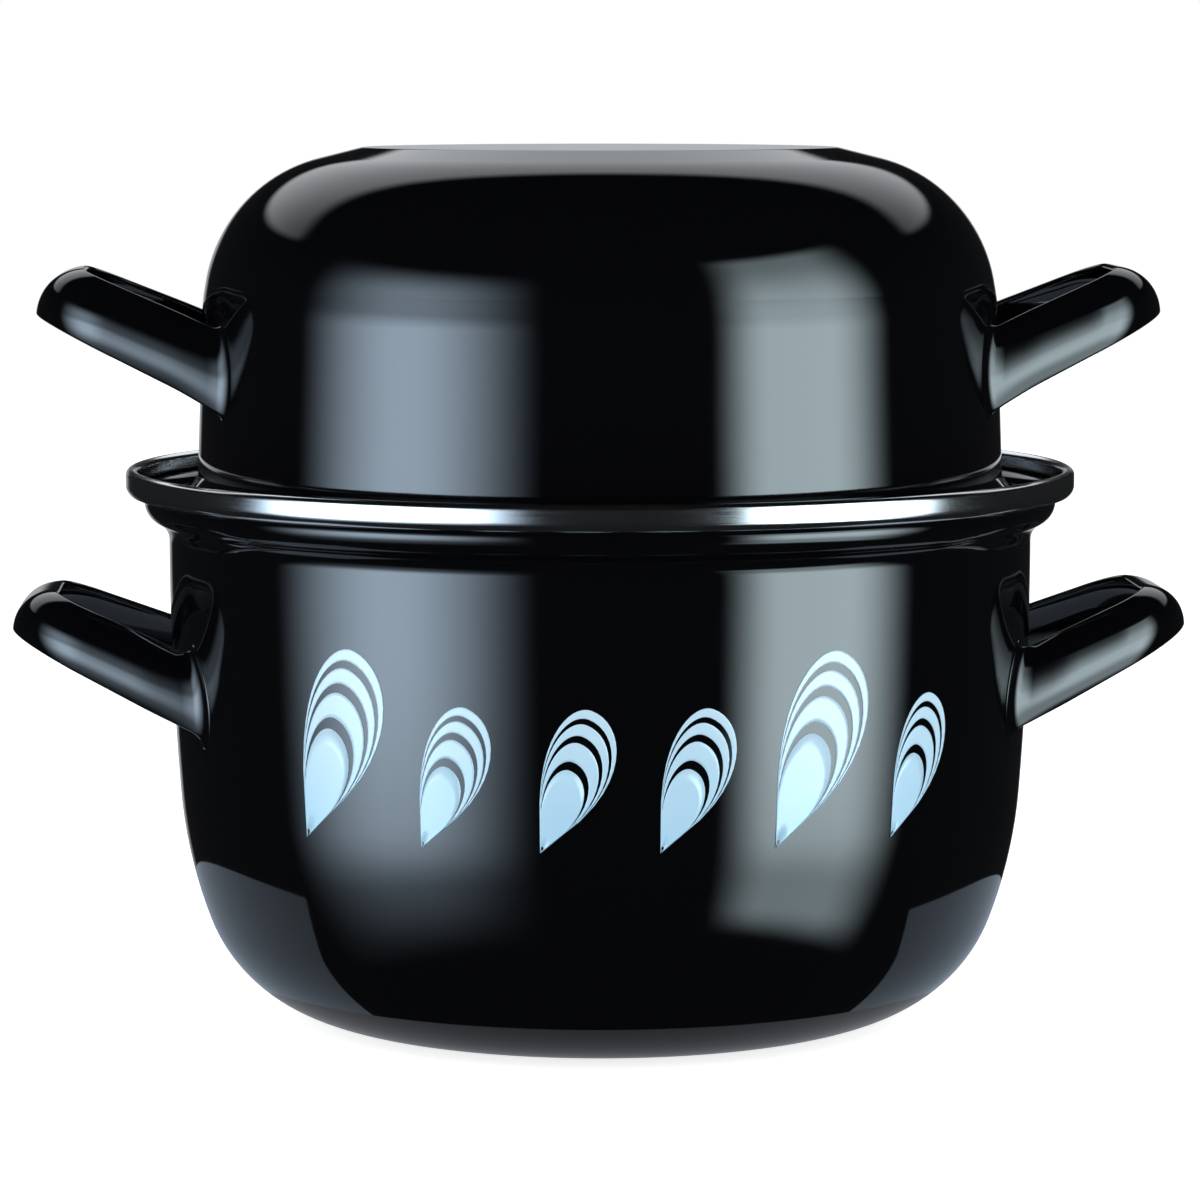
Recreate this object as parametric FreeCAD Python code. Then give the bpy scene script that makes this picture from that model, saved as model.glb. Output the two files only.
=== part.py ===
"""A mussel pot: an enamelled steel pot and a deep lid that turns over into a bowl.

Millimetres, +Z up. The origin is the middle of the base, on the surface that the pot
stands on. The handles point along -X and +X.
"""
import FreeCAD, Part
import math
import os

# Steel and enamel
POT_WALL = 1.4
LID_WALL = 1.2
BAND_STRIP = 0.8
STRAP = 1.8
SEAT_GAP = 0.1
BAND_GAP = 0.05

# Pot, outside surface
POT_HEIGHT = 140.0
POT_RADIUS = 120.0
RIM_STEP = 4.7
COLLAR_STEP = 6.15
LIP_DEPTH = 4.0
RIM_RISE = 4.4
COLLAR_RISE = 9.7
WALL_LEAN = 4.3
BELLY_RADIUS = 118.0
BELLY_LEAN = 20.6
CORNER_RADIUS = 40.0
RING_WIDTH = 7.1
RECESS_DEPTH = 0.8
RECESS_STEP = 5.0

# Rim band
BAND_CURL = 50.0
BAND_LEG = 2.0

# Lid, outside surface
LID_RISE = 80.5
LID_INSET = 9.15
CREASE_RADIUS = 4.0
CREASE_ANGLE = 14.0
BROW_LENGTH = 10.6
SHOULDER_RADIUS = 38.6
LID_DRAFT = 2.0
FLARE_RADIUS = 9.0
SKIRT_ANGLE = 45.0
FOOT_RADIUS = 6.0
FOOT_ANGLE = 20.0
FOOT_LENGTH = 2.0

# Strap handles: a bent loop for the upper edge of the strap and one for the lower
UPPER_ROOT_HALF = 38.0
UPPER_TIP_HALF = 31.0
UPPER_REACH = 28.5
UPPER_CORNER = 18.0
UPPER_SLOPE = 0.44
LOWER_ROOT_HALF = 43.0
LOWER_TIP_HALF = 34.0
LOWER_REACH = 40.0
LOWER_CORNER = 28.0
LOWER_SLOPE = 0.50
STRAP_HEIGHT = 18.8
STRAP_BULGE = 3.2
ROOT_SINK = 6.0
CORNER_STATIONS = 5
POT_HANDLE_HEIGHT = 79.0
LID_HANDLE_RISE = 19.7

# Worked out from the sizes above
LIP_RADIUS = POT_RADIUS - BAND_STRIP - BAND_GAP
COLLAR_RADIUS = POT_RADIUS - RIM_STEP
WALL_RADIUS = COLLAR_RADIUS - COLLAR_STEP
LID_WALL_RADIUS = WALL_RADIUS - LID_INSET
LIP_TOP = POT_HEIGHT - BAND_STRIP - BAND_GAP - POT_WALL / 2
LIP_FOOT = POT_HEIGHT - LIP_DEPTH
COLLAR_TOP = LIP_FOOT - RIM_RISE
COLLAR_FOOT = COLLAR_TOP - COLLAR_RISE
LID_TOP = POT_HEIGHT + LID_RISE

AXIS = FreeCAD.Vector(0, 0, 1)
CENTRE = FreeCAD.Vector(0, 0, 0)


def unit(heading):
    """Return the direction of a heading in the XZ plane, in degrees from +X."""
    angle = math.radians(heading)
    return FreeCAD.Vector(math.cos(angle), 0, math.sin(angle))


def arc_step(radius, heading, turn):
    """Return the way from one end to the other of an arc, positive turns to the left."""
    side = math.copysign(1, turn)
    return (unit(heading + 90) - unit(heading + turn + 90)) * (radius * side)


def bend_size(advance, shift):
    """Return the radius and turn of two equal arcs that step sideways by shift."""
    radius = (advance ** 2 + shift ** 2) / (4 * shift)
    turn = 2 * math.degrees(math.atan2(shift, advance))
    return radius, turn


def turned_solid(edges):
    """Return the solid that a closed section sweeps when turned about the axis."""
    section = Part.Face(Part.Wire(Part.__sortEdges__(edges)))
    solid = section.revolve(CENTRE, AXIS, 360)
    return solid if solid.Volume > 0 else solid.reversed()


class Sheet:
    """The section of a pressed sheet: tangent lines and arcs with a second face beside.

    side is 1 where the second face lies to the left of the way drawn, -1 to the right.
    """

    def __init__(self, start, heading, wall, side):
        self.point = start
        self.heading = heading
        self.wall = wall * side
        self.face = []
        self.back = []

    def beside(self, point, heading):
        """Return the point of the second face that lies square to this one."""
        return point + unit(heading + 90) * self.wall

    def line(self, length):
        """Go straight on."""
        end = self.point + unit(self.heading) * length
        self.face.append(Part.LineSegment(self.point, end).toShape())
        beside = [self.beside(p, self.heading) for p in (self.point, end)]
        self.back.append(Part.LineSegment(*beside).toShape())
        self.point = end

    def arc(self, radius, turn):
        """Turn along an arc, positive to the left."""
        headings = [self.heading + turn * share for share in (0, 0.5, 1)]
        points = [self.point + arc_step(radius, self.heading, turn * share)
                  if share else self.point for share in (0, 0.5, 1)]
        self.face.append(Part.Arc(*points).toShape())
        beside = [self.beside(p, h) for p, h in zip(points, headings)]
        self.back.append(Part.Arc(*beside).toShape())
        self.point = points[2]
        self.heading = headings[2]

    def bend(self, advance, shift):
        """Step sideways by two equal arcs, positive to the left, and go on as before."""
        radius, turn = bend_size(advance, abs(shift))
        turn = math.copysign(turn, shift)
        self.arc(radius, turn)
        self.arc(radius, -turn)

    def round_end(self, outward):
        """Return the half-round edge at this point, outward 1 ahead or -1 behind."""
        far = self.beside(self.point, self.heading)
        top = (self.point + far) * 0.5 + unit(self.heading) * (outward * abs(self.wall) / 2)
        return Part.Arc(self.point, top, far).toShape()

    def start_on_axis(self):
        """Close the start with a short edge on the axis."""
        self.start_edge = Part.LineSegment(self.point, self.point + AXIS * self.wall).toShape()

    def start_round(self):
        """Close the start with a half-round edge."""
        self.start_edge = self.round_end(-1)

    def solid(self):
        """Close the section with a round end and turn it about the axis."""
        return turned_solid(self.face + self.back + [self.round_end(1), self.start_edge])

    def mark_wall(self):
        """Note the last two faces drawn as the wall that carries the handles."""
        self.wall_faces = self.face[-2:]

    def core(self):
        """Return the solid inside the outer face of the wall, to cut the handles' feet."""
        start = self.wall_faces[0].firstVertex(True).Point
        end = self.wall_faces[-1].lastVertex(True).Point
        low = FreeCAD.Vector(0, 0, start.z)
        high = FreeCAD.Vector(0, 0, end.z)
        closing = [Part.LineSegment(start, low), Part.LineSegment(low, high),
                   Part.LineSegment(high, end)]
        return turned_solid(self.wall_faces + [line.toShape() for line in closing])


# Pot
def pot_outline():
    """Return the pot's section: its outside runs from the middle of the base to the lip."""
    corner = arc_step(CORNER_RADIUS, 0, 90 - BELLY_LEAN)
    belly = arc_step(BELLY_RADIUS, 90 - BELLY_LEAN, BELLY_LEAN - WALL_LEAN)
    wall_rise = COLLAR_FOOT - corner.z - belly.z
    wall_bow = wall_rise / math.sin(math.radians(WALL_LEAN))
    wall = arc_step(wall_bow, 90 - WALL_LEAN, WALL_LEAN)
    ring_edge = WALL_RADIUS - wall.x - belly.x - corner.x
    sheet = Sheet(FreeCAD.Vector(0, 0, RECESS_DEPTH), 0, POT_WALL, 1)
    sheet.start_on_axis()
    sheet.line(ring_edge - RING_WIDTH - RECESS_STEP)
    sheet.bend(RECESS_STEP, -RECESS_DEPTH)
    sheet.line(RING_WIDTH)
    sheet.arc(CORNER_RADIUS, 90 - BELLY_LEAN)
    sheet.arc(BELLY_RADIUS, BELLY_LEAN - WALL_LEAN)
    sheet.arc(wall_bow, WALL_LEAN)
    sheet.mark_wall()
    sheet.bend(COLLAR_RISE, -COLLAR_STEP)
    sheet.bend(RIM_RISE, COLLAR_RADIUS - LIP_RADIUS)
    sheet.line(LIP_TOP - LIP_FOOT)
    return sheet


def rim_band():
    """Return the stainless strip that is rolled over the lip."""
    step_radius, _ = bend_size(RIM_RISE, LIP_RADIUS - COLLAR_RADIUS)
    curl_radius = step_radius + BAND_STRIP + BAND_GAP
    top_radius = BAND_STRIP + BAND_GAP + POT_WALL / 2
    middle = FreeCAD.Vector(POT_RADIUS - curl_radius, 0, LIP_FOOT)
    start = middle + unit(-BAND_CURL) * curl_radius
    sheet = Sheet(start, 90 - BAND_CURL, BAND_STRIP, 1)
    sheet.start_round()
    sheet.arc(curl_radius, BAND_CURL)
    sheet.line(LIP_TOP - LIP_FOOT)
    sheet.arc(top_radius, 180)
    sheet.line(BAND_LEG)
    return sheet.solid()


# Lid
def seat():
    """Return the middle of the collar's sloping seat, inside the pot, and its slope."""
    _, turn = bend_size(COLLAR_RISE, COLLAR_STEP)
    outside = FreeCAD.Vector((COLLAR_RADIUS + WALL_RADIUS) / 2, 0, (COLLAR_TOP + COLLAR_FOOT) / 2)
    slope = 90 - turn
    return outside + unit(slope + 90) * POT_WALL, slope


def lid_outline():
    """Return the lid's section: flat top, round shoulder and flared foot in the collar."""
    rest, slope = seat()
    foot_middle = rest + unit(slope + 90) * (SEAT_GAP + LID_WALL / 2)
    foot_end = foot_middle + unit(90 - FOOT_ANGLE) * (LID_WALL / 2)
    crease = arc_step(CREASE_RADIUS, 0, -CREASE_ANGLE)
    shoulder = arc_step(SHOULDER_RADIUS, -CREASE_ANGLE, CREASE_ANGLE + LID_DRAFT - 90)
    brow = unit(-CREASE_ANGLE) * BROW_LENGTH
    dome = crease + brow + shoulder
    flat_radius = LID_WALL_RADIUS - dome.x
    flare = arc_step(FLARE_RADIUS, LID_DRAFT - 90, SKIRT_ANGLE - LID_DRAFT)
    foot = arc_step(FOOT_RADIUS, SKIRT_ANGLE - 90, 90 - SKIRT_ANGLE - FOOT_ANGLE)
    start = FreeCAD.Vector(0, 0, LID_TOP)
    wall_top = FreeCAD.Vector(flat_radius, 0, LID_TOP) + dome
    left = foot_end - wall_top - flare - foot - unit(-FOOT_ANGLE) * FOOT_LENGTH
    down = unit(LID_DRAFT - 90)
    out = unit(SKIRT_ANGLE - 90)
    spread = down.x * out.z - down.z * out.x
    wall_length = (left.x * out.z - left.z * out.x) / spread
    skirt_length = (down.x * left.z - down.z * left.x) / spread
    sheet = Sheet(start, 0, LID_WALL, -1)
    sheet.start_on_axis()
    sheet.line(flat_radius)
    sheet.arc(CREASE_RADIUS, -CREASE_ANGLE)
    sheet.line(BROW_LENGTH)
    sheet.arc(SHOULDER_RADIUS, CREASE_ANGLE + LID_DRAFT - 90)
    sheet.line(wall_length)
    sheet.mark_wall()
    sheet.arc(FLARE_RADIUS, SKIRT_ANGLE - LID_DRAFT)
    sheet.line(skirt_length)
    sheet.arc(FOOT_RADIUS, 90 - SKIRT_ANGLE - FOOT_ANGLE)
    sheet.line(FOOT_LENGTH)
    return sheet


# Handles
def edge_points(wall_radius, root_half, tip_half, reach, corner):
    """Return one long edge of the strap in plan, from its near root to its middle."""
    root = FreeCAD.Vector(math.sqrt(wall_radius ** 2 - root_half ** 2), -root_half, 0)
    apex = FreeCAD.Vector(wall_radius + reach, -tip_half, 0)
    along = (apex - root).normalize()
    taper = math.atan2(along.y, along.x)
    trim = corner * math.tan((math.pi / 2 - taper) / 2)
    middle = apex + FreeCAD.Vector(-corner, trim, 0)
    bend_start = apex - along * trim
    points = [root - along * ROOT_SINK]
    points.append((points[0] + bend_start) * 0.5)
    for share in range(CORNER_STATIONS + 1):
        angle = taper - math.pi / 2 + (math.pi / 2 - taper) * share / CORNER_STATIONS
        points.append(middle + FreeCAD.Vector(math.cos(angle), math.sin(angle), 0) * corner)
    points.append(FreeCAD.Vector(apex.x, 0, 0))
    return points


def strap_edge(wall_radius, height, slope, near):
    """Return one long edge of the strap from root to root, on its slope."""
    whole = near + [FreeCAD.Vector(p.x, -p.y, 0) for p in reversed(near[:-1])]
    return [FreeCAD.Vector(p.x, p.y, height + slope * (p.x - wall_radius)) for p in whole]


def strap_section(low, high, out):
    """Return the crowned section of the strap between its two long edges."""
    up = (high - low).normalize() * (STRAP / 2)
    through = out * -STRAP
    crown = (low + high) * 0.5 + out * STRAP_BULGE
    top = high + through * 0.5 + up
    bottom = low + through * 0.5 - up
    edges = [Part.Arc(low, crown, high),
             Part.Arc(high, top, high + through),
             Part.Arc(high + through, crown + through, low + through),
             Part.Arc(low + through, bottom, low)]
    return Part.Wire([edge.toShape() for edge in edges])


def strap_handle(wall_radius, height, core):
    """Return one pressed strap handle on the +X side, its feet seated on the wall."""
    lower = edge_points(wall_radius, LOWER_ROOT_HALF, LOWER_TIP_HALF, LOWER_REACH,
                        LOWER_CORNER)
    upper = edge_points(wall_radius, UPPER_ROOT_HALF, UPPER_TIP_HALF, UPPER_REACH,
                        UPPER_CORNER)
    low = strap_edge(wall_radius, height, LOWER_SLOPE, lower)
    high = strap_edge(wall_radius, height + STRAP_HEIGHT, UPPER_SLOPE, upper)
    middle = [(a + b) * 0.5 for a, b in zip(low, high)]
    last = len(middle) - 1
    sections = []
    for place in range(last + 1):
        onward = middle[min(place + 1, last)] - middle[max(place - 1, 0)]
        out = onward.cross(high[place] - low[place]).normalize()
        sections.append(strap_section(low[place], high[place], out))
    return Part.makeLoft(sections, True).cut(core)


def turned(shape):
    """Return a copy turned half round the axis, for the -X side."""
    copy = shape.copy()
    copy.rotate(CENTRE, AXIS, 180)
    return copy


# The whole pot
def parts():
    """Return every piece by its node name."""
    pot = pot_outline()
    lid = lid_outline()
    pot_handle = strap_handle(WALL_RADIUS, POT_HANDLE_HEIGHT, pot.core())
    lid_handle = strap_handle(LID_WALL_RADIUS, POT_HEIGHT + LID_HANDLE_RISE, lid.core())
    return {
        "pot_body": pot.solid(),
        "pot_rim_band": rim_band(),
        "pot_handle_right": pot_handle,
        "pot_handle_left": turned(pot_handle),
        "lid_bowl": lid.solid(),
        "lid_handle_right": lid_handle,
        "lid_handle_left": turned(lid_handle),
    }


os.makedirs("parts", exist_ok=True)
for name, piece in parts().items():
    piece.exportStep(f"parts/{name}.step")
    print(name, piece.isValid(), len(piece.Solids), round(piece.Volume))
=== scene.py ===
"""Looks of a mussel pot: black enamel, a steel rim band, a print of shells, and a studio."""
import math
import bmesh
import bpy
from mathutils import Matrix, Vector


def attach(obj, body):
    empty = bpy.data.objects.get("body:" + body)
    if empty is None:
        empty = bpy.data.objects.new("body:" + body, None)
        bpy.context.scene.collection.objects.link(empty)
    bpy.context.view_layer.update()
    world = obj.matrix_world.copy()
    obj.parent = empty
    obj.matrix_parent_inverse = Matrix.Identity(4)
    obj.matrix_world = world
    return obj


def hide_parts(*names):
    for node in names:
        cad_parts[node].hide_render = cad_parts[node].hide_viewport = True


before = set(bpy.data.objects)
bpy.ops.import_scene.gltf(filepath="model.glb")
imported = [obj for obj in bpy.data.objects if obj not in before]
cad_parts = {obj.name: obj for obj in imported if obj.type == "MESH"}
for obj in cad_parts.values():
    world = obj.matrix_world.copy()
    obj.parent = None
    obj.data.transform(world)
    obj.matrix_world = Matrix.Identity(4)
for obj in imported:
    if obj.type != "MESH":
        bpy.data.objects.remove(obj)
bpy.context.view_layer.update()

# Shapes are drawn in millimetres
MILLIMETRE = 0.001
ROUND_STEPS = 240
ARC_STEP = 3.0
EDGE_LENGTH = 4.0
EASE = 0.4

# Steel and enamel
POT_WALL = 1.4
LID_WALL = 1.2
BAND_STRIP = 0.8
BAND_GAP = 0.05
SEAT_GAP = 0.1
STRAP = 1.8

# Pot, outside surface
POT_HEIGHT = 140.0
POT_RADIUS = 120.0
RIM_STEP = 4.7
COLLAR_STEP = 6.15
LIP_DEPTH = 4.0
RIM_RISE = 4.4
COLLAR_RISE = 9.7
WALL_LEAN = 4.3
BELLY_RADIUS = 118.0
BELLY_LEAN = 20.6
CORNER_RADIUS = 40.0
RING_WIDTH = 7.1
RECESS_DEPTH = 0.8
RECESS_STEP = 5.0
BAND_CURL = 50.0
BAND_LEG = 2.0

# Lid, outside surface
LID_RISE = 80.5
LID_INSET = 9.15
CREASE_RADIUS = 4.0
CREASE_ANGLE = 14.0
BROW_LENGTH = 10.6
SHOULDER_RADIUS = 38.6
LID_DRAFT = 2.0
FLARE_RADIUS = 9.0
SKIRT_ANGLE = 45.0
FOOT_RADIUS = 6.0
FOOT_ANGLE = 20.0
FOOT_LENGTH = 2.0

# Handles: height of the foot, height of the strap, and its lower and upper edge as bent loops
POT_HANDLE = {
    "height": 80.7, "strap": 17.7,
    "low": {"root": 41.5, "tip": 25.5, "reach": 39.3, "corner": 26.0, "slope": 0.50},
    "high": {"root": 37.0, "tip": 23.0, "reach": 28.3, "corner": 16.0, "slope": 0.408},
}
LID_HANDLE = {
    "height": 159.0, "strap": 18.8,
    "low": {"root": 37.0, "tip": 22.5, "reach": 41.8, "corner": 24.0, "slope": 0.49},
    "high": {"root": 33.0, "tip": 19.5, "reach": 30.3, "corner": 15.0, "slope": 0.420},
}
STRAP_BULGE = 2.9
FILLET = 3.0
ROOT_SINK = 0.8
ROOT_GAPS = (-ROOT_SINK, 0.0, 0.15, 0.45, 0.9, 1.5, 2.2, 3.0)
ROOT_BLEND = 16.0

# Print on the front: place along the wall, tilt and size of each shell
SHELLS = ((-84, 20, 49), (-50, 20, 36), (-20, 20, 36), (9, 20, 36), (38, 20, 49), (72, 20, 36))
SHELL_STRIPS = ((0.04, 0.58), (0.64, 0.77), (0.82, 0.90), (0.94, 1.0))
SHELL_FRONT = 22.0
SHELL_BACK = 34.0
SHELL_HINGE = 57.0
PRINT_RISE = 0.12
PRINT_COAT = 0.16

# Mesh work: doubles nearer than this are one point, and steps along arm, corner and bight
SAME_POINT = 0.001
ARM_STEPS = 12
CORNER_STEPS = 16
BIGHT_STEPS = 4

# Sizes that follow
LIP_RADIUS = POT_RADIUS - BAND_STRIP - BAND_GAP
COLLAR_RADIUS = POT_RADIUS - RIM_STEP
WALL_RADIUS = COLLAR_RADIUS - COLLAR_STEP
LID_WALL_RADIUS = WALL_RADIUS - LID_INSET
LIP_TOP = POT_HEIGHT - BAND_STRIP - BAND_GAP - POT_WALL / 2
LIP_FOOT = POT_HEIGHT - LIP_DEPTH
COLLAR_TOP = LIP_FOOT - RIM_RISE
COLLAR_FOOT = COLLAR_TOP - COLLAR_RISE
LID_TOP = POT_HEIGHT + LID_RISE


def unit(heading):
    """Return the direction of a heading in the XZ plane, in degrees from +X."""
    angle = math.radians(heading)
    return Vector((math.cos(angle), 0, math.sin(angle)))


def arc_step(radius, heading, turn):
    """Return the way from one end to the other of an arc, positive turns to the left."""
    side = math.copysign(1, turn)
    return (unit(heading + 90) - unit(heading + turn + 90)) * (radius * side)


def bend_moves(advance, shift):
    """Return two equal arcs that step sideways by shift, positive to the left."""
    radius = (advance ** 2 + shift ** 2) / (4 * abs(shift))
    turn = math.copysign(2 * math.degrees(math.atan2(abs(shift), advance)), shift)
    return [(radius, turn), (radius, -turn)]


class Outline:
    """A section drawn by one vertex that is extruded along lines and spun along arcs."""

    def __init__(self, start, heading):
        self.mesh = bmesh.new()
        self.tip = self.mesh.verts.new(start)
        self.heading = heading

    def line(self, length):
        """Go straight on, with short ends that keep the shading of the bends apart."""
        runs = (EASE, length - 2 * EASE, EASE) if length > 4 * EASE else (length,)
        for run in runs:
            self.tip = bmesh.ops.extrude_vert_indiv(self.mesh, verts=[self.tip])["verts"][0]
            bmesh.ops.translate(self.mesh, verts=[self.tip], vec=unit(self.heading) * run)

    def arc(self, radius, turn):
        """Turn along an arc, positive to the left."""
        side = math.copysign(1, turn)
        centre = self.tip.co + unit(self.heading + 90) * (radius * side)
        length = radius * math.radians(abs(turn))
        steps = max(2, math.ceil(abs(turn) / ARC_STEP), math.ceil(length / EDGE_LENGTH))
        made = bmesh.ops.spin(self.mesh, geom=[self.tip], cent=centre, axis=(0, -1, 0),
                              angle=math.radians(turn), steps=steps)
        self.tip = made["geom_last"][0]
        self.heading += turn

    def draw(self, moves):
        """Follow lines, given as a length, and arcs, given as a radius and a turn."""
        for move in moves:
            if isinstance(move, tuple):
                self.arc(*move)
            else:
                self.line(move)

    def sheet(self, moves, wall, side):
        """Draw one face of a sheet, its round edge and the other face back to the start."""
        self.draw(moves)
        self.arc(wall / 2, 180 * side)
        back = [move if isinstance(move, float) else
                (move[0] - wall * math.copysign(side, move[1]), -move[1])
                for move in reversed(moves)]
        self.draw(back)

    def turned(self):
        """Turn the section about the axis and return the closed mesh."""
        mesh = self.mesh
        bmesh.ops.remove_doubles(mesh, verts=mesh.verts, dist=SAME_POINT)
        bmesh.ops.spin(mesh, geom=mesh.verts[:] + mesh.edges[:], cent=(0, 0, 0), axis=(0, 0, 1),
                       angle=math.tau, steps=ROUND_STEPS, use_merge=True)
        bmesh.ops.remove_doubles(mesh, verts=mesh.verts, dist=SAME_POINT)
        bmesh.ops.recalc_face_normals(mesh, faces=mesh.faces)
        return mesh


def in_scene(name, data):
    """Return a new object of the scene with this data."""
    made = bpy.data.objects.new(name, data)
    bpy.context.scene.collection.objects.link(made)
    return made


def shown(mesh, name, finish):
    """Make the mesh an object with one finish."""
    data = bpy.data.meshes.new(name)
    mesh.to_mesh(data)
    mesh.free()
    data.materials.append(finish)
    return in_scene(name, data)


def piece(mesh, name, finish, slot, *nodes):
    """Make the mesh an object in metres that rides on the pot and stands for CAD nodes."""
    bmesh.ops.scale(mesh, verts=mesh.verts, vec=(MILLIMETRE,) * 3)
    for face in mesh.faces:
        face.smooth = True
    made = shown(mesh, name, finish)
    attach(made, "root")
    if nodes:
        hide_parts(*nodes)


class Value:
    """A shader socket that takes arithmetic."""

    def __init__(self, nodes, socket):
        self.nodes = nodes
        self.socket = socket

    def math(self, operation, *values):
        """Return the result of a Math node on this value."""
        inputs = dict(enumerate(values))
        return self.nodes.add("ShaderNodeMath", {"operation": operation}, inputs)

    def __add__(self, other):
        return self.math("ADD", self, other)

    def __sub__(self, other):
        return self.math("SUBTRACT", self, other)

    def __rsub__(self, other):
        return self.math("SUBTRACT", other, self)

    def __mul__(self, other):
        return self.math("MULTIPLY", self, other)

    def __gt__(self, other):
        return self.math("GREATER_THAN", self, other)

    def __lt__(self, other):
        return self.math("LESS_THAN", self, other)

    __radd__ = __add__
    __rmul__ = __mul__


class Nodes:
    """The node tree of a material or of the world."""

    def __init__(self, owner):
        owner.use_nodes = True
        self.tree = owner.node_tree
        self.tree.nodes.clear()

    def add(self, kind, settings, inputs, output=0):
        """Add a node, set it, feed its sockets and return one of its outputs."""
        node = self.tree.nodes.new(kind)
        for key, value in settings.items():
            setattr(node, key, value)
        for key, value in inputs.items():
            if isinstance(value, Value):
                self.tree.links.new(value.socket, node.inputs[key])
            else:
                node.inputs[key].default_value = value
        return Value(self, node.outputs[output]) if node.outputs else None

    def point(self, space="Object"):
        """Return the object's own coordinates, or for the world the direction."""
        return self.add("ShaderNodeTexCoord", {}, {}, space)

    def parts(self, point):
        """Return the x, y and z of a point."""
        return [self.add("ShaderNodeSeparateXYZ", {}, {0: point}, axis) for axis in "XYZ"]

    def ray(self, kind):
        """Return 1 for rays of this kind and 0 for others."""
        return self.add("ShaderNodeLightPath", {}, {}, kind)

    def noise(self, point, scale, detail=2.0):
        """Return cloudy noise from 0 to 1."""
        return self.add("ShaderNodeTexNoise", {}, {"Vector": point, "Scale": scale,
                                                   "Detail": detail}, "Fac")

    def between(self, value, low, high, start=0.0, end=1.0):
        """Return value carried smoothly from the range low to high to start to end."""
        return self.add("ShaderNodeMapRange", {"interpolation_type": "SMOOTHSTEP"},
                        {"Value": value, "From Min": low, "From Max": high, "To Min": start,
                         "To Max": end})

    def bump(self, height, strength, distance):
        """Return the normal of a surface raised by height."""
        return self.add("ShaderNodeBump", {}, {"Strength": strength, "Distance": distance,
                                               "Height": height})

    def mixed(self, share, first, second):
        """Return the first shader where share is 0 and the second where it is 1."""
        return self.add("ShaderNodeMixShader", {}, {0: share, 1: first, 2: second})

    def glow(self, colour):
        """Return an emission of this colour."""
        return self.add("ShaderNodeEmission", {}, {"Color": (*colour, 1)})


def surface(name, **sockets):
    """Return a new material, its nodes and a Principled shader with these sockets set."""
    material = bpy.data.materials.new(name)
    nodes = Nodes(material)
    shader = nodes.add("ShaderNodeBsdfPrincipled", {}, {})
    for key, value in sockets.items():
        shader.socket.node.inputs[key.replace("_", " ")].default_value = value
    nodes.add("ShaderNodeOutputMaterial", {}, {"Surface": shader})
    return material, nodes, shader.socket.node


def feed(nodes, shader, socket, value):
    """Link a value to a socket of the shader."""
    nodes.tree.links.new(value.socket, shader.inputs[socket])


def enamel_finish():
    """Return black vitreous enamel: deep gloss with the slight waviness of a fired coat."""
    material, nodes, shader = surface("black_enamel", Base_Color=(0.0018, 0.0020, 0.0026, 1),
                                      IOR=1.52, Roughness=0.05)
    point = nodes.point()
    waves = nodes.noise(point, 28.0)
    peel = nodes.noise(point, 420.0)
    feed(nodes, shader, "Normal", nodes.bump(waves + peel * 0.045, 1.0, 0.00004))
    patch = nodes.noise(point, 60.0, 4.0)
    feed(nodes, shader, "Roughness", nodes.between(patch, 0.3, 0.7, 0.04, 0.06))
    return material


def steel_finish():
    """Return polished stainless steel with fine lines round the band."""
    material, nodes, shader = surface("polished_steel", Base_Color=(0.78, 0.79, 0.81, 1),
                                      Metallic=1.0, Roughness=0.15)
    x, y, z = nodes.parts(nodes.point())
    turn = y.math("ARCTAN2", y, x)
    radius = x.math("SQRT", x * x + y * y)
    line = nodes.add("ShaderNodeCombineXYZ", {}, {0: turn * 6.0, 1: z * 9000.0,
                                                  2: radius * 9000.0})
    lines = nodes.noise(line, 1.0, 3.0)
    feed(nodes, shader, "Normal", nodes.bump(lines, 0.35, 0.000004))
    feed(nodes, shader, "Roughness", nodes.between(lines, 0.2, 0.8, 0.09, 0.2))
    return material


def print_finish():
    """Return the pale blue fired print, slightly uneven in its colour."""
    material, nodes, shader = surface("pale_blue_print", Roughness=0.16, IOR=1.5)
    point = nodes.point()
    cloud = nodes.noise(point, 90.0, 3.0)
    _, _, z = nodes.parts(point)
    tint = nodes.add("ShaderNodeMix", {"data_type": "RGBA"},
                     {"Factor": nodes.between(z + cloud * 0.02, 0.06, 0.11),
                      "A": (0.44, 0.74, 0.96, 1), "B": (0.58, 0.82, 0.98, 1)}, "Result")
    feed(nodes, shader, "Base Color", tint)
    return material


def pot_wall():
    """Return the pot's corner and belly, each as a way from end to end, and its wall's bow."""
    corner = arc_step(CORNER_RADIUS, 0, 90 - BELLY_LEAN)
    belly = arc_step(BELLY_RADIUS, 90 - BELLY_LEAN, BELLY_LEAN - WALL_LEAN)
    bow = (COLLAR_FOOT - corner.z - belly.z) / math.sin(math.radians(WALL_LEAN))
    return corner, belly, bow


def pot_shape():
    """Return the pot: base, belly, wall, collar and lip, drawn from the base outwards."""
    corner, belly, bow = pot_wall()
    wall = arc_step(bow, 90 - WALL_LEAN, WALL_LEAN)
    ring_edge = WALL_RADIUS - wall.x - belly.x - corner.x
    moves = [ring_edge - RING_WIDTH - RECESS_STEP]
    moves += bend_moves(RECESS_STEP, -RECESS_DEPTH)
    moves += [RING_WIDTH, (CORNER_RADIUS, 90 - BELLY_LEAN)]
    moves += [(BELLY_RADIUS, BELLY_LEAN - WALL_LEAN), (bow, WALL_LEAN)]
    moves += bend_moves(COLLAR_RISE, -COLLAR_STEP)
    moves += bend_moves(RIM_RISE, COLLAR_RADIUS - LIP_RADIUS)
    moves += [LIP_TOP - LIP_FOOT]
    outline = Outline((0, 0, RECESS_DEPTH), 0)
    outline.sheet(moves, POT_WALL, 1)
    return outline.turned()


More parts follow.
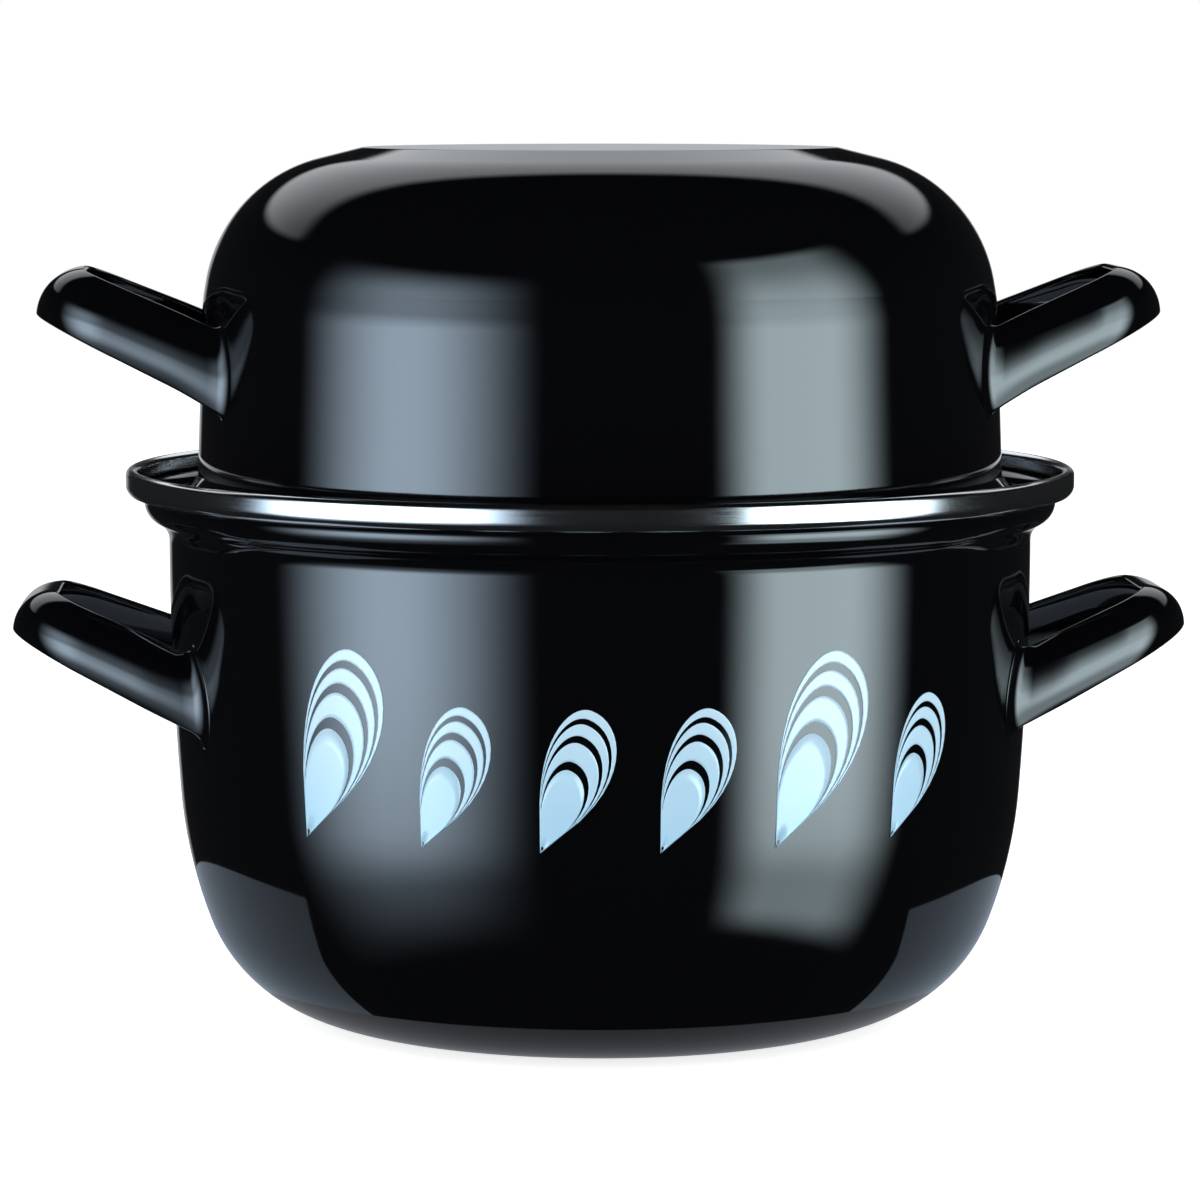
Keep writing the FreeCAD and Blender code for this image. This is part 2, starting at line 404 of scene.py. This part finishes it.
def band_shape():
    """Return the strip that is rolled over the lip."""
    step_radius = bend_moves(RIM_RISE, LIP_RADIUS - COLLAR_RADIUS)[0][0]
    curl_radius = step_radius + BAND_STRIP + BAND_GAP
    middle = Vector((POT_RADIUS - curl_radius, 0, LIP_FOOT))
    outline = Outline(middle + unit(-BAND_CURL) * curl_radius, 90 - BAND_CURL)
    moves = [(curl_radius, BAND_CURL), LIP_TOP - LIP_FOOT]
    moves += [(BAND_STRIP + BAND_GAP + POT_WALL / 2, 180.0), BAND_LEG]
    outline.sheet(moves, BAND_STRIP, 1)
    outline.arc(BAND_STRIP / 2, 180)
    return outline.turned()


def lid_moves():
    """Return the lid's outside, from its middle to its foot in the pot's collar."""
    turn = bend_moves(COLLAR_RISE, COLLAR_STEP)[0][1]
    slope = 90 - turn
    rest = Vector(((COLLAR_RADIUS + WALL_RADIUS) / 2, 0, (COLLAR_TOP + COLLAR_FOOT) / 2))
    rest += unit(slope + 90) * (POT_WALL + SEAT_GAP + LID_WALL / 2)
    foot_end = rest + unit(90 - FOOT_ANGLE) * (LID_WALL / 2)
    dome = arc_step(CREASE_RADIUS, 0, -CREASE_ANGLE) + unit(-CREASE_ANGLE) * BROW_LENGTH
    dome += arc_step(SHOULDER_RADIUS, -CREASE_ANGLE, CREASE_ANGLE + LID_DRAFT - 90)
    flat_radius = LID_WALL_RADIUS - dome.x
    wall_top = Vector((flat_radius, 0, LID_TOP)) + dome
    flare = arc_step(FLARE_RADIUS, LID_DRAFT - 90, SKIRT_ANGLE - LID_DRAFT)
    foot = arc_step(FOOT_RADIUS, SKIRT_ANGLE - 90, 90 - SKIRT_ANGLE - FOOT_ANGLE)
    left = foot_end - wall_top - flare - foot - unit(-FOOT_ANGLE) * FOOT_LENGTH
    down = unit(LID_DRAFT - 90)
    out = unit(SKIRT_ANGLE - 90)
    spread = down.x * out.z - down.z * out.x
    wall_length = (left.x * out.z - left.z * out.x) / spread
    skirt_length = (down.x * left.z - down.z * left.x) / spread
    return [flat_radius, (CREASE_RADIUS, -CREASE_ANGLE), BROW_LENGTH,
            (SHOULDER_RADIUS, CREASE_ANGLE + LID_DRAFT - 90), wall_length,
            (FLARE_RADIUS, SKIRT_ANGLE - LID_DRAFT), skirt_length,
            (FOOT_RADIUS, 90 - SKIRT_ANGLE - FOOT_ANGLE), FOOT_LENGTH]


def lid_shape():
    """Return the lid, with the flat top on which it stands when it serves as a bowl."""
    outline = Outline((0, 0, LID_TOP), 0)
    outline.sheet(lid_moves(), LID_WALL, -1)
    return outline.turned()


def pot_wall_radius(height):
    """Return the radius of the pot's wall, which leans in towards the belly."""
    _, _, bow = pot_wall()
    return WALL_RADIUS - bow + math.sqrt(bow ** 2 - (COLLAR_FOOT - height) ** 2)


def lid_wall_radius(height):
    """Return the radius of the lid's wall, which widens downwards."""
    shoulder = arc_step(SHOULDER_RADIUS, -CREASE_ANGLE, CREASE_ANGLE + LID_DRAFT - 90)
    crease = arc_step(CREASE_RADIUS, 0, -CREASE_ANGLE)
    wall_top = LID_TOP + crease.z + unit(-CREASE_ANGLE).z * BROW_LENGTH + shoulder.z
    return LID_WALL_RADIUS + (wall_top - height) * math.tan(math.radians(LID_DRAFT))


def loop_points(radius, height, loop):
    """Return one edge of the strap, from its sunk root to its middle."""
    root = Vector((math.sqrt(radius ** 2 - loop["root"] ** 2), -loop["root"], 0))
    apex = Vector((radius + loop["reach"], -loop["tip"], 0))
    along = (apex - root).normalized()
    taper = math.atan2(along.y, along.x)
    trim = loop["corner"] * math.tan((math.pi / 2 - taper) / 2)
    middle = apex + Vector((-loop["corner"], trim, 0))
    points = [root + along * gap for gap in ROOT_GAPS]
    arm_start = points[-1].copy()
    arm_end = apex - along * trim
    points += [arm_start.lerp(arm_end, step / ARM_STEPS) for step in range(1, ARM_STEPS + 1)]
    for step in range(1, CORNER_STEPS + 1):
        angle = (taper - math.pi / 2) * (1 - step / CORNER_STEPS)
        points.append(middle + Vector((math.cos(angle), math.sin(angle), 0)) * loop["corner"])
    bight_start = points[-1].copy()
    bight_end = Vector((apex.x, 0, 0))
    points += [bight_start.lerp(bight_end, step / BIGHT_STEPS)
               for step in range(1, BIGHT_STEPS + 1)]
    return [Vector((p.x, p.y, height + loop["slope"] * (p.x - radius))) for p in points]


def strap_section(height):
    """Return the crowned section of the strap, upright along Z with its crown towards +X."""
    half = 0.5 * height
    crown_radius = (half ** 2 + STRAP_BULGE ** 2) / (2 * STRAP_BULGE)
    half_turn = math.degrees(math.asin(half / crown_radius))
    outline = Outline((0, 0, -half), 90 - half_turn)
    outline.sheet([(crown_radius, 2 * half_turn)], STRAP, 1)
    outline.arc(STRAP / 2, 180)
    bmesh.ops.remove_doubles(outline.mesh, verts=outline.mesh.verts, dist=SAME_POINT)
    return outline.mesh


def strap_places(radius, handle):
    """Return the place of the section at each station along the strap."""
    low = loop_points(radius, handle["height"], handle["low"])
    high = loop_points(radius, handle["height"] + handle["strap"], handle["high"])
    middle = [(a + b) / 2 for a, b in zip(low, high)]
    last = len(middle) - 1
    places = []
    for index in range(last + 1):
        up = (high[index] - low[index]) / handle["strap"]
        onward = (middle[min(index + 1, last)] - middle[max(index - 1, 0)]).normalized()
        if index == last:
            onward = Vector((0, 1, 0))
        out = onward.cross(up).normalized()
        side = out.cross(up).normalized()
        place = Matrix((out, side, up)).transposed().to_4x4()
        place.translation = middle[index]
        places.append(place)
    return places


def handle_shape(radius, handle, wall_radius):
    """Return a strap handle on the +X side, flared where its feet meet the wall."""
    places = strap_places(radius, handle)
    mesh = strap_section(handle["strap"])
    foot = mesh.edges[:]
    rings = [mesh.verts[:]]
    bmesh.ops.transform(mesh, matrix=places[0], verts=rings[0])
    ring = foot
    for before, after in zip(places, places[1:]):
        made = bmesh.ops.extrude_edge_only(mesh, edges=ring)["geom"]
        verts = [item for item in made if isinstance(item, bmesh.types.BMVert)]
        kept = set(verts)
        ring = [item for item in made if isinstance(item, bmesh.types.BMEdge)
                and set(item.verts) <= kept]
        bmesh.ops.transform(mesh, matrix=after @ before.inverted(), verts=verts)
        rings.append(verts)
    bmesh.ops.holes_fill(mesh, edges=foot, sides=0)
    bmesh.ops.recalc_face_normals(mesh, faces=mesh.faces)
    seat_feet(mesh, rings, places, wall_radius)
    for vert in rings[-1]:
        vert.co.y = 0.0
    bmesh.ops.mirror(mesh, geom=mesh.verts[:] + mesh.edges[:] + mesh.faces[:],
                     matrix=Matrix.Identity(4), merge_dist=SAME_POINT, axis="Y")
    bmesh.ops.recalc_face_normals(mesh, faces=mesh.faces)
    return mesh


def seat_feet(mesh, rings, places, wall_radius):
    """Shift each line of the strap so that it ends on the round wall, with a fillet there."""
    mesh.normal_update()
    outward = [[vert.normal.copy() for vert in ring] for ring in rings]
    to_root = places[1]
    for station, (ring, place, normals) in enumerate(zip(rings, places, outward)):
        gap = ROOT_GAPS[min(station, len(ROOT_GAPS) - 1)]
        run = (place.translation - to_root.translation).length
        weight = 1.0 if station < len(ROOT_GAPS) else max(0.0, 1 - run / ROOT_BLEND)
        weight = weight * weight * (3 - 2 * weight)
        rise = FILLET - max(gap, 0.0)
        flare = FILLET - math.sqrt(max(FILLET ** 2 - rise ** 2, 0.0))
        back = to_root @ place.inverted()
        for vert, normal in zip(ring, normals):
            vert.co += normal * flare
            foot = back @ vert.co
            reach = wall_radius(foot.z)
            vert.co.x += (math.sqrt(reach ** 2 - foot.y ** 2) - foot.x) * weight


def turned_round(mesh):
    """Return a copy turned half round the axis, for the -X side."""
    copy = mesh.copy()
    bmesh.ops.rotate(copy, verts=copy.verts, cent=(0, 0, 0),
                     matrix=Matrix.Rotation(math.pi, 3, "Z"))
    return copy


def shell_strip(middle, tilt, size, start, end):
    """Return one strip of a printed shell, between two shares of its size from the hinge."""
    strip = bmesh.new()
    bmesh.ops.create_grid(strip, x_segments=28, y_segments=6, size=1.0)
    for vert in strip.verts:
        side = vert.co.x
        angle = math.radians(tilt + side * (SHELL_BACK if side > 0 else SHELL_FRONT))
        reach = size * math.sqrt(max(math.cos(side * math.pi / 2), 0.0))
        reach *= start + (end - start) * (vert.co.y + 1) / 2
        along = middle + math.sin(angle) * reach
        height = SHELL_HINGE + math.cos(angle) * reach
        radius = pot_wall_radius(height) + PRINT_RISE
        turn = along / WALL_RADIUS
        vert.co = (math.sin(turn) * radius, -math.cos(turn) * radius, height)
    bmesh.ops.remove_doubles(strip, verts=strip.verts, dist=0.01)
    bmesh.ops.recalc_face_normals(strip, faces=strip.faces)
    bmesh.ops.solidify(strip, geom=strip.faces[:], thickness=PRINT_COAT)
    bmesh.ops.recalc_face_normals(strip, faces=strip.faces)
    return strip


def shell_print():
    """Return the row of mussel shells printed across the front of the pot."""
    whole = bmesh.new()
    for place, tilt, size in SHELLS:
        for start, end in SHELL_STRIPS:
            strip = shell_strip(place, tilt, size, start, end)
            data = bpy.data.meshes.new("strip")
            strip.to_mesh(data)
            strip.free()
            whole.from_mesh(data)
            bpy.data.meshes.remove(data)
    return whole


enamel = enamel_finish()
steel = steel_finish()
piece(pot_shape(), "pot", enamel, "enamel", "pot_body")
piece(band_shape(), "rim_band", steel, "stainless", "pot_rim_band")
piece(lid_shape(), "lid", enamel, "enamel", "lid_bowl")
pot_handle = handle_shape(WALL_RADIUS, POT_HANDLE, pot_wall_radius)
lid_handle = handle_shape(LID_WALL_RADIUS, LID_HANDLE, lid_wall_radius)
piece(turned_round(pot_handle), "pot_strap_left", enamel, "enamel", "pot_handle_left")
piece(turned_round(lid_handle), "lid_strap_left", enamel, "enamel", "lid_handle_left")
piece(pot_handle, "pot_strap_right", enamel, "enamel", "pot_handle_right")
piece(lid_handle, "lid_strap_right", enamel, "enamel", "lid_handle_right")
piece(shell_print(), "shell_print", print_finish(), "enamel")

# Studio, in metres and degrees: the board under the pot as the gloss sees it, round and cut
# straight in front, and the darker disc next to the pot, a painted shadow of the pot on the board
FLOOR_SIZE = 3.0
FLOOR_DROP = 0.0003
BOARD_ACROSS = -0.007
BOARD_BEHIND = 0.052
BOARD_RADIUS = 0.188
BOARD_FRONT = -0.060
# Painted shadow: the disc round the pot's foot is given a darker colour than the board, and only the
# gloss sees it
SHADOW_DISC_RADIUS = 0.088
BOARD_COLOUR = (0.32, 0.39, 0.47)
PAINTED_SHADOW_COLOUR = (0.27, 0.285, 0.315)
PAPER_COLOUR = (0.85, 0.86, 0.87)
PAPER_GLOW = 0.8

# Lamps stand round the pot, azimuths run from the front to the right
LAMPS = {"lamp_left": -61, "lamp_right": 62}
LAMP_POWER = 5.5
LAMP_SIZE = 0.9
LAMP_DISTANCE = 1.1
LAMP_HEIGHT = 0.4
LAMP_PITCH = 75
WORLD_LIGHT = 0.6

# Colours and levels of what the gloss sees around the pot
LEFT_TINT, LEFT_LEVEL = (0.79, 1.0, 1.21), 7.6
RIGHT_TINT, RIGHT_LEVEL = (0.81, 1.0, 1.07), 8.6
ROOM_TINT, ROOM_LEVEL = (0.96, 1.0, 1.04), 0.012

# Camera
CAMERA_TURN = 0.052
CAMERA_DISTANCE = 1.284
CAMERA_HEIGHT = 0.2396
CAMERA_PITCH = 5.96
CAMERA_LENS = 152.07
CAMERA_SENSOR = 36


def floor_finish():
    """Return a white floor that keeps the shadow; gloss sees only the board under the pot, darker in
    a disc round its foot as a painted shadow.
    """
    material = bpy.data.materials.new("white_floor")
    nodes = Nodes(material)
    x, y, _ = nodes.parts(nodes.point())
    across = x - BOARD_ACROSS
    along = y - BOARD_BEHIND
    board = (across * across + along * along < BOARD_RADIUS ** 2) * (y > BOARD_FRONT)
    # Painted shadow: the floor's reflection is darker inside this disc round the pot's foot
    shadow_disc = x * x + y * y < SHADOW_DISC_RADIUS ** 2
    paper = nodes.add("ShaderNodeBsdfDiffuse", {}, {"Color": (*PAPER_COLOUR, 1)})
    seen = nodes.add("ShaderNodeEmission", {}, {"Strength": nodes.ray("Is Camera Ray") * PAPER_GLOW})
    white = nodes.add("ShaderNodeAddShader", {}, {0: paper, 1: seen})
    clear = nodes.add("ShaderNodeBsdfTransparent", {}, {})
    mirrored = nodes.mixed(board, clear, nodes.glow(BOARD_COLOUR))
    mirrored = nodes.mixed(shadow_disc, mirrored, nodes.glow(PAINTED_SHADOW_COLOUR))
    whole = nodes.mixed(nodes.ray("Is Glossy Ray"), white, mirrored)
    nodes.add("ShaderNodeOutputMaterial", {}, {"Surface": whole})
    return material


def stand_lamp(name, azimuth):
    """Stand a square lamp by the pot that neither camera nor gloss sees."""
    data = bpy.data.lights.new(name, "AREA")
    data.energy = LAMP_POWER
    data.size = LAMP_SIZE
    made = in_scene(name, data)
    turn = math.radians(azimuth)
    made.location = (math.sin(turn) * LAMP_DISTANCE, -math.cos(turn) * LAMP_DISTANCE, LAMP_HEIGHT)
    made.rotation_euler = (math.radians(LAMP_PITCH), 0, turn)
    made.visible_camera = False
    made.visible_glossy = False


def softbox_left(nodes, turn, rise):
    """Return the strength of the left softbox seen by gloss in a direction."""
    across = nodes.between(turn, -98.0, -60.0) * nodes.between(turn, -18.0, -57.0)
    above = nodes.between(rise, 33.0, 15.0, 0.0, 0.48) + nodes.between(rise, 9.0, 0.0, 0.0, 0.52)
    below = nodes.between(rise, -28.0, -8.0, 0.0, 0.8) + nodes.between(rise, -44.0, -20.0, 0.0, 0.2)
    return across * above * below * LEFT_LEVEL


def softbox_right(nodes, turn, rise):
    """Return the strength of the right softbox seen by gloss in a direction."""
    across = nodes.between(turn, 28.0, 46.0) * nodes.between(turn, 88.0, 64.0)
    above = nodes.between(rise, 8.0, 0.0, 0.8, 1.0) + nodes.between(rise, 8.0, 36.0, 0.0, -0.5)
    above = above * nodes.between(rise, 42.0, 36.0)
    below = nodes.between(rise, -26.0, -10.0, 0.42, 1.0) * nodes.between(rise, -39.0, -31.0)
    return across * above * below * RIGHT_LEVEL


def strip_behind(nodes, off, rise):
    """Return the strength of the bowed strip and the small panel behind the pot."""
    strip = nodes.between(rise - off * 0.24, 13.5, 16.5) * nodes.between(off, 66.0, 56.0)
    strip = strip * nodes.between(rise + off * off * 0.0052, 55.0, 47.0)
    strip = strip * nodes.between(off, 75.0, 20.0, 0.35, 1.05)
    panel = nodes.between(off, 16.0, 10.0) * nodes.between(rise, 5.0, 2.0) * 0.5
    return strip + panel * nodes.between(rise, -14.0, -8.0)


def world_light():
    """Give the world: white to the camera, plain light, and a dark studio for the gloss."""
    world = bpy.data.worlds.new("studio")
    bpy.context.scene.world = world
    nodes = Nodes(world)
    x, y, z = nodes.parts(nodes.point("Generated"))
    turn = x.math("ARCTAN2", x, 0 - y) * math.degrees(1)
    rise = z.math("ARCSINE", z) * math.degrees(1)
    off = 180 - turn.math("ABSOLUTE", turn)
    room = strip_behind(nodes, off, rise) + nodes.between(rise, 40.0, 0.0, 0.0, ROOM_LEVEL)
    lights = ((LEFT_TINT, softbox_left(nodes, turn, rise)),
              (RIGHT_TINT, softbox_right(nodes, turn, rise)), (ROOM_TINT, room))
    total = (0, 0, 0)
    for tint, level in lights:
        light = nodes.add("ShaderNodeVectorMath", {"operation": "SCALE"},
                          {0: tint, "Scale": level})
        total = nodes.add("ShaderNodeVectorMath", {"operation": "ADD"}, {0: total, 1: light})
    strength = nodes.ray("Is Camera Ray") * (1 - WORLD_LIGHT) + WORLD_LIGHT
    plain = nodes.add("ShaderNodeBackground", {}, {"Color": (1, 1, 1, 1), "Strength": strength})
    studio = nodes.add("ShaderNodeBackground", {}, {"Color": total})
    whole = nodes.mixed(nodes.ray("Is Glossy Ray"), plain, studio)
    nodes.add("ShaderNodeOutputWorld", {}, {"Surface": whole})


def camera():
    """Look at the pot from the front, a little from the left and from above."""
    data = bpy.data.cameras.new("camera")
    data.sensor_fit = "HORIZONTAL"
    data.sensor_width = CAMERA_SENSOR
    data.lens = CAMERA_LENS
    made = in_scene("camera", data)
    made.location = (-CAMERA_DISTANCE * math.sin(CAMERA_TURN),
                     -CAMERA_DISTANCE * math.cos(CAMERA_TURN), CAMERA_HEIGHT)
    made.rotation_euler = (math.radians(90 - CAMERA_PITCH), 0, -CAMERA_TURN)
    bpy.context.scene.camera = made


floor_mesh = bmesh.new()
bmesh.ops.create_grid(floor_mesh, x_segments=1, y_segments=1, size=FLOOR_SIZE)
bmesh.ops.translate(floor_mesh, verts=floor_mesh.verts, vec=(0, 0, -FLOOR_DROP))
shown(floor_mesh, "floor", floor_finish())
for lamp, azimuth in LAMPS.items():
    stand_lamp(lamp, azimuth)
world_light()
camera()
bpy.context.scene.view_settings.view_transform = "Standard"
